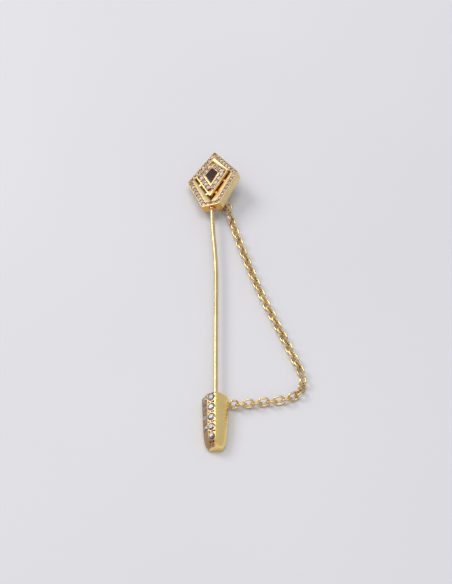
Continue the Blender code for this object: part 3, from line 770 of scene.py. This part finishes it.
def build_pin():
    """The bent pin with its pointed tip, and the collar where it enters the head."""
    start = HEAD @ Vector((0.0, PIN_FOOT + PIN_INSIDE, PIN_ENTRY))
    leave = HEAD @ Vector((0.0, PIN_FOOT - PIN_OUTSIDE, PIN_ENTRY))
    bend = [Vector(p) for p in PIN_BEND]
    path = [start] + smooth_path([leave] + bend + [Vector((0.0, STRAIGHT_START, PIN_HEIGHT))], BEND_STEPS)
    run = PIN_TIP + PIN_TAPER - STRAIGHT_START
    for k in range(1, STRAIGHT_STEPS + 1):
        path.append(Vector((0.0, STRAIGHT_START + run * k / STRAIGHT_STEPS, PIN_HEIGHT)))
    radii = [PIN_RADIUS] * len(path)
    for k in range(1, TAPER_STEPS + 1):
        share = k / TAPER_STEPS
        path.append(Vector((0.0, PIN_TIP + PIN_TAPER * (1 - share), PIN_HEIGHT)))
        radii.append(max(PIN_RADIUS * math.sqrt(1 - share ** TAPER_POWER * TAPER_SHARE), TIP_RADIUS))
    mesh = wire(path, radii, PIN_SIDES, closed=False)
    mesh_piece("pin_wire", mesh, GOLD_WIRE, ROOT, ["pin_stem"])

    profile = []
    for k in range(COLLAR_SIDES):
        angle = 2 * math.pi * k / COLLAR_SIDES
        out = COLLAR_RADIUS - COLLAR_TUBE * (1 - math.cos(angle))
        profile.append((max(out, PIN_RADIUS + COLLAR_GAP), COLLAR_TUBE * math.sin(angle)))
    rings = []
    for j in range(COLLAR_STEPS):
        a = 2 * math.pi * j / COLLAR_STEPS
        rings.append([Vector((radius * math.cos(a), radius * math.sin(a), z)) for radius, z in profile])
    spot = HEAD @ Vector((0.0, PIN_FOOT - COLLAR_TUBE - COLLAR_GAP, PIN_ENTRY))
    turn = (leave - start).normalized().to_track_quat("Z", "Y").to_matrix().to_4x4()
    placed = Matrix.Translation(spot) @ turn
    collar = loft(rings, closed=True)
    mesh_piece("pin_foot_collar", collar, COPPER, ROOT, ["pin_collar"], placed)


# ---------------------------------------------------------------- clasp

CLASP_LENGTH = 10.4
CLASP_SEED = 11

# Where painted rose shade covers the stone-set side, and where a face counts as sunk into it and gets painted
# brown shade
RIDGE_BAND = -0.22
SIDE_FACING = -0.1
UNDER_FACING = -0.2
CUT_SHARES = (0.01, 0.99)
CUT_DEPTH = 0.07
CUT_HEIGHT = 1.0

# The section at full size, as (across, height) points
RIDGE = (0.0, 3.6)
SHOULDER = (-1.55, 2.75)
WAIST = (-2.45, 1.25)
RIGHT_SIDE = (
    RIDGE, (0.62, 3.32), (1.2, 2.97), (1.75, 2.5), (2.2, 1.95),
    (2.42, 1.35), (2.38, 0.8), (2.1, 0.3), (1.65, 0.0),
)
LEFT_SIDE = ((-1.65, 0.0), (-2.15, 0.4), WAIST, SHOULDER, RIDGE)
SECTION_RADII = (0.02, 0.12, 0.1, 0.1, 0.1, 0.2)
CURVE_STEPS = 5
CORNER_STEPS = 3

# The section's scale along the clasp, as (share of the length, scale)
STATIONS = (
    (0.0, 0.95), (0.032, 0.995), (0.673, 0.87), (0.769, 0.83), (0.856, 0.78),
    (0.923, 0.72), (0.971, 0.63), (0.99, 0.56), (1.0, 0.45),
)
EVEN_SHARES = 24
END_SHARES = (0.01, 0.02, 0.97, 0.994)

# The stones, as (share of the length, radius)
UPPER_STONES = ((0.096, 0.74), (0.288, 0.74), (0.48, 0.72), (0.672, 0.68), (0.843, 0.56))
LOWER_STONES = ((0.08, 0.7), (0.267, 0.7), (0.454, 0.66), (0.66, 0.6))
# Each row's name, stones, the two corners it lies between, and the turn from one stone to the next
CLASP_ROWS = (
    ("upper", UPPER_STONES, RIDGE, SHOULDER, 0.2),
    ("lower", LOWER_STONES, SHOULDER, WAIST, 0.5),
)
CLASP_GEM_RISE = 0.2
CLASP_GEM_DEPTH = 0.27
CLASP_GEM_SINK = 0.03
CLASP_BEAD_POST = 0.3
CLASP_BEAD_REACH = 0.3
CLASP_BEAD_SHIFT = 0.18
CLASP_BEAD_LIFT = 0.02
SEAT_DEPTH = 0.32
SEAT_STEP = 0.12
SEAT_FOOT = 0.9
SEAT_GAP = 0.03
SEAT_TOP = 1.0
SEAT_SIDES = 24
FACET_SPAN = (0.1, 0.6)

# Shapes cut away, as (radius, height) points: the pin's bore, a notch by the ridge and a groove at the tip
BORE = ((0.0, -1.0), (0.66, -1.0), (0.66, 6.8), (0.5, 6.8), (0.5, 9.1), (0.0, 9.4))
BORE_SIDES = 32
NOTCH = ((0.0, -0.4), (0.46, 0.12), (0.0, 0.12))
NOTCH_SHIFT = 0.5
GROOVE = ((0.0, -0.5), (0.15, -0.5), (0.15, 0.5), (0.0, 0.5))
GROOVE_SIDES = 6
GROOVE_SHARE = 0.95
GROOVE_SHIFTS = (-0.35, 0.15)
GROOVE_SINK = 0.46

CLASP_RING_RADIUS = 0.72
CLASP_RING_TUBE = 0.18
CLASP_RING_STEPS = 48
CLASP_RING_TILT = 40.0


def clasp_scale(share):
    """The section's scale at a share of the clasp's length."""
    for (a, ka), (b, kb) in zip(STATIONS, STATIONS[1:]):
        if share <= b:
            return ka + (kb - ka) * (share - a) / (b - a)
    return STATIONS[-1][1]


def clasp_point(corner, share):
    """Where a corner of the section lies at a share of the clasp's length."""
    x, z = corner
    k = clasp_scale(share)
    return Vector((x * k, CLASP_START - CLASP_LENGTH * share, z * k))


def facet_frame(first, second, share):
    """A frame on one flat side of the clasp: x across it, y back along the pin, z outwards."""
    near, far = FACET_SPAN
    base = (clasp_point(first, near) + clasp_point(second, near)) / 2
    tip = (clasp_point(first, far) + clasp_point(second, far)) / 2
    along = (base - tip).normalized()
    across = (clasp_point(first, near) - clasp_point(second, near)).normalized()
    normal = across.cross(along).normalized()
    across = along.cross(normal)
    spot = base.lerp(tip, (share - near) / (far - near))
    return Matrix.Translation(spot) @ Matrix((across, along, normal)).transposed().to_4x4()


def clasp_section():
    """The clasp's section with its plain side as one curve and a rounded ridge."""
    plain = smooth_path([Vector(p) for p in RIGHT_SIDE], CURVE_STEPS)
    left = [Vector(p) for p in LEFT_SIDE]
    soft = rounded([plain[-1]] + left[:-1] + [plain[0]], SECTION_RADII, CORNER_STEPS)
    corner = CORNER_STEPS + 1
    return soft[-corner:] + plain[1:-1] + soft[:corner] + soft[corner:-corner]


def stone_seat(radius):
    """A cutter for the seat of a clasp stone."""
    rim = radius + SEAT_GAP
    foot = radius * SEAT_FOOT
    profile = [(0.0, -SEAT_DEPTH), (foot, -SEAT_DEPTH), (rim, -SEAT_STEP), (rim, SEAT_TOP), (0.0, SEAT_TOP)]
    return turned(profile, SEAT_SIDES)


def gap_shares(stones):
    """The shares midway between neighbouring stones."""
    return [(a + b) / 2 for (a, _), (b, _) in zip(stones, stones[1:])]


def notches(stones, first, second):
    """Cutters for the upper side: three-sided cuts by the ridge between stones, and grooves at the tip."""
    cutters = []
    turn = Matrix.Rotation(math.pi, 4, "Z")
    for share in gap_shares(stones):
        place = facet_frame(first, second, share)
        cutters.append(at(turned(NOTCH, 3), place @ Matrix.Translation((NOTCH_SHIFT, 0.0, 0.0)) @ turn))
    place = facet_frame(first, second, GROOVE_SHARE)
    turn = Matrix.Rotation(math.pi / 2, 4, "X")
    for shift in GROOVE_SHIFTS:
        bar = turned(GROOVE, GROOVE_SIDES)
        cutters.append(at(bar, place @ Matrix.Translation((shift, 0.0, -GROOVE_SINK)) @ turn))
    return cutters


def clasp_painted_shade(face):
    """Painted rose shade on the stone-set side short of the ridge, and painted brown shade in what is cut into it.
    """
    share = (CLASP_START - face.center.y) / CLASP_LENGTH
    corners = [Vector(corner) for corner in LEFT_SIDE[::-1]]
    spot = Vector((face.center.x, face.center.z)) / clasp_scale(share)
    depths = []
    for a, b in zip(corners[:2], corners[1:3]):
        run = (b - a).normalized()
        depths.append((spot.y - a.y) * run.x - (spot.x - a.x) * run.y)
    along_side = CUT_SHARES[0] < share < CUT_SHARES[1] and spot.x < 0.0 and spot.y > CUT_HEIGHT
    # Painted brown shade in the recesses cut into the stone-set side
    if along_side and min(depths) > CUT_DEPTH:
        return PAINTED_CUT_SHADE_TONE
    # Painted rose shade on the outward faces of the stone-set side, short of the ridge
    faces_out = face.normal.x < SIDE_FACING and face.normal.z > UNDER_FACING
    return PAINTED_SIDE_TONE if faces_out and spot.x < RIDGE_BAND else PLAIN_TONE


def build_clasp():
    """The clasp's body with its bore, seats and cuts, its stones and beads, and its ring."""
    section = clasp_section()
    shares = {round(share, 4) for share, _ in STATIONS}
    shares |= {k / EVEN_SHARES for k in range(EVEN_SHARES)} | set(END_SHARES)
    rings = []
    for share in sorted(shares):
        k = clasp_scale(share)
        rings.append([Vector((p.x * k, CLASP_START - CLASP_LENGTH * share, p.y * k)) for p in section])
    to_pin = Matrix.Translation((0.0, CLASP_START, PIN_HEIGHT)) @ Matrix.Rotation(math.pi / 2, 4, "X")
    shell = cut(loft(rings), at(turned(BORE, BORE_SIDES), to_pin))
    for name, stones, first, second, phase in CLASP_ROWS:
        seats, gems, beads = [], [], []
        for k, (share, radius) in enumerate(stones):
            place = facet_frame(first, second, share)
            seats.append(at(stone_seat(radius), place))
            gem = brilliant(radius, CLASP_GEM_RISE, CLASP_GEM_DEPTH, phase * k)
            gems.append(at(gem, place @ Matrix.Translation((0.0, 0.0, -CLASP_GEM_SINK))))
        for share in gap_shares(stones):
            place = facet_frame(first, second, share)
            for way in (-1, 1):
                across = way * CLASP_BEAD_REACH - CLASP_BEAD_SHIFT
                spot = Matrix.Translation((across, 0.0, CLASP_BEAD_LIFT))
                beads.append(at(bead(CLASP_BEAD_POST), place @ spot))
        if name == "upper":
            seats += notches(stones, first, second)
        shell = cut(shell, merged(seats))
        mesh = merged(gems)
        # Painted reflection tones, one for each facet
        painted_facet_glints(mesh, len(stones) + CLASP_SEED)
        replaced = [f"clasp_{name}_stones"]
        flat_shaded(mesh_piece(f"clasp_gems_{name}", mesh, CLEAR, CLASP, replaced, None, None))
        mesh_piece(f"clasp_beads_{name}", merged(beads), ROSE_GOLD, CLASP, (), None, BEAD_EDGE)
    # Painted rose shade on the stone-set side and painted brown shade in its cuts
    paint_light_tone(shell, clasp_painted_shade)
    mesh_piece("clasp_body", shell, GOLD_CLASP, CLASP, ["clasp_shell"], None, CLASP_EDGE)

    low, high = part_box("clasp_ring")
    middle = (low + high) / 2
    tilt = Matrix.Rotation(math.radians(CLASP_RING_TILT), 4, "X")
    placed = Matrix.Translation(middle / MM - SHIFT) @ tilt
    ring = hoop(CLASP_RING_RADIUS, CLASP_RING_TUBE, CLASP_RING_STEPS)
    mesh_piece("clasp_end_ring", ring, GOLD_CHAIN, CLASP, ["clasp_ring"], placed)


# ---------------------------------------------------------------- chain and loop

LINK_SIDES = 12
LEAST_STRAIGHT = 0.1
LOOP_RADIUS = 1.02
LOOP_TUBE = 0.25
LOOP_STEPS = 56
SAMPLE_LINK = "chain_link_20"

# Outside length and width, wire thickness, and steps round each end
JUMP_RING = (2.1, 2.1, 0.38, 16)
LONG_LINK = (3.5, 1.75, 0.36, 12)
LINK_REST = (1.74, 0.38, 9)


def corners_of(node):
    """The vertices of a CAD node's mesh."""
    return np.array([v.co for v in frame["nodes"][node].data.vertices], float)


def span(node):
    """The longest reach of a node's mesh, in millimetres."""
    co = corners_of(node)
    along = np.linalg.svd(co - co.mean(0), full_matrices=False)[2][0]
    reach = co @ along
    return float(reach.max() - reach.min()) / MM


def own_frame(node):
    """A ring or link's middle, and its directions along, across and through it, from its CAD mesh."""
    co = corners_of(node)
    middle = co.mean(0)
    turn = np.linalg.svd(co - middle, full_matrices=False)[2]
    if np.linalg.det(turn) < 0:
        turn[2] *= -1
    along, across, flat = (Vector(row) for row in turn)
    place = Matrix((along, across, flat)).transposed().to_4x4()
    return Matrix.Translation(Vector(middle) / MM - SHIFT) @ place


def oval(length, width, thick, steps):
    """The middle line of a link: two half circles, and the middle of each straight side if it has any."""
    bow = (width - thick) / 2
    half = (length - thick) / 2 - bow
    points = []
    for side in (1, -1):
        for k in range(steps + 1):
            angle = math.pi * k / steps - math.pi / 2
            points.append(Vector((side * (half + bow * math.cos(angle)), side * bow * math.sin(angle), 0.0)))
        if half > LEAST_STRAIGHT:
            points.append(Vector((0.0, side * bow, 0.0)))
    return points


def build_chain():
    """The jump ring and links and the head's loop, each lying as its CAD node does."""
    link = (span(SAMPLE_LINK), *LINK_REST)
    for node in sorted(frame["nodes"]):
        if node == "jump_ring":
            length, width, thick, steps = JUMP_RING
        elif node == "chain_long_link":
            length, width, thick, steps = LONG_LINK
        elif node.startswith("chain_link_"):
            length, width, thick, steps = link
        else:
            continue
        points = oval(length, width, thick, steps)
        mesh = wire(points, [thick / 2] * len(points), LINK_SIDES)
        mesh_piece(node + "_smooth", mesh, GOLD_CHAIN, node, [node], own_frame(node), None)

    mesh = hoop(LOOP_RADIUS, LOOP_TUBE, LOOP_STEPS)
    placed = own_frame("head_loop")
    mesh_piece("head_side_loop", mesh, GOLD_CHAIN, ROOT, ["head_loop"], placed, None)


build_head()
build_pin()
build_clasp()
build_chain()
sleeve = frame["nodes"]["clasp_grip_sleeve"]
sleeve.data.materials.clear()
sleeve.data.materials.append(GOLD_WIRE)


# ---------------------------------------------------------------- table, light and camera

TABLE_REACH = 2.0
TABLE_DROP = 0.00002
TABLE_ROUGHNESS = 0.6
TABLE_DRIFT = 9.0
WORLD_COLOUR = (0.86, 0.86, 0.9, 1.0)
WORLD_STRENGTH = 0.62
AIM = (1.85, 0.0, 0.0)
ELEVATION = math.radians(50.0)
DISTANCE = 0.26
LENS = 108.96
SENSOR = 36.0
CLIP = (0.01, 10.0)


def table():
    """A wide pale table top just under the part."""
    made, tree, shader = new_material("table_top")
    tone = ramp(tree, noise(tree, TABLE_DRIFT, 2.0), ((0.3, (0.70, 0.695, 0.72)), (0.7, (0.735, 0.73, 0.75))))
    tree.links.new(tone, shader.inputs["Base Color"])
    shader.inputs["Roughness"].default_value = TABLE_ROUGHNESS
    mesh = bpy.data.meshes.new("table")
    corners = [(x * TABLE_REACH, y * TABLE_REACH, 0) for x, y in ((-1, -1), (1, -1), (1, 1), (-1, 1))]
    mesh.from_pydata(corners, [], [(0, 1, 2, 3)])
    mesh.materials.append(made)
    obj = bpy.data.objects.new("table", mesh)
    obj.location.z = -TABLE_DROP
    bpy.context.scene.collection.objects.link(obj)


def light(name, spot, size, power, colour):
    """An area light aimed at the origin."""
    data = bpy.data.lights.new(name, "AREA")
    data.shape = "RECTANGLE"
    data.size, data.size_y = size
    data.energy = power
    data.color = colour
    obj = bpy.data.objects.new(name, data)
    obj.location = spot
    obj.rotation_euler = (-Vector(spot)).to_track_quat("-Z", "Y").to_euler()
    bpy.context.scene.collection.objects.link(obj)


table()
light("key", spot=(-0.42, 0.3, 0.46), size=(0.3, 0.3), power=1.9, colour=(1.0, 0.985, 0.97))
light("top", spot=(0.05, 0.12, 0.7), size=(0.4, 0.3), power=1.15, colour=(1.0, 1.0, 1.0))
light("front", spot=(0.25, -0.6, 0.35), size=(0.2, 0.2), power=0.2, colour=(0.98, 0.98, 1.0))

world = bpy.data.worlds.new("studio")
world.use_nodes = True
world.node_tree.nodes["Background"].inputs["Color"].default_value = WORLD_COLOUR
world.node_tree.nodes["Background"].inputs["Strength"].default_value = WORLD_STRENGTH
bpy.context.scene.world = world

look_at = (Vector(AIM) + SHIFT) * MM
camera = bpy.data.cameras.new("camera")
camera.sensor_fit = "HORIZONTAL"
camera.sensor_width = SENSOR
camera.lens = LENS
camera.clip_start, camera.clip_end = CLIP
stand = bpy.data.objects.new("camera", camera)
stand.location = look_at + Vector((0.0, -math.cos(ELEVATION), math.sin(ELEVATION))) * DISTANCE
stand.rotation_euler = (math.pi / 2 - ELEVATION, 0.0, 0.0)
bpy.context.scene.collection.objects.link(stand)
bpy.context.scene.camera = stand
bpy.context.scene.view_settings.view_transform = "Standard"
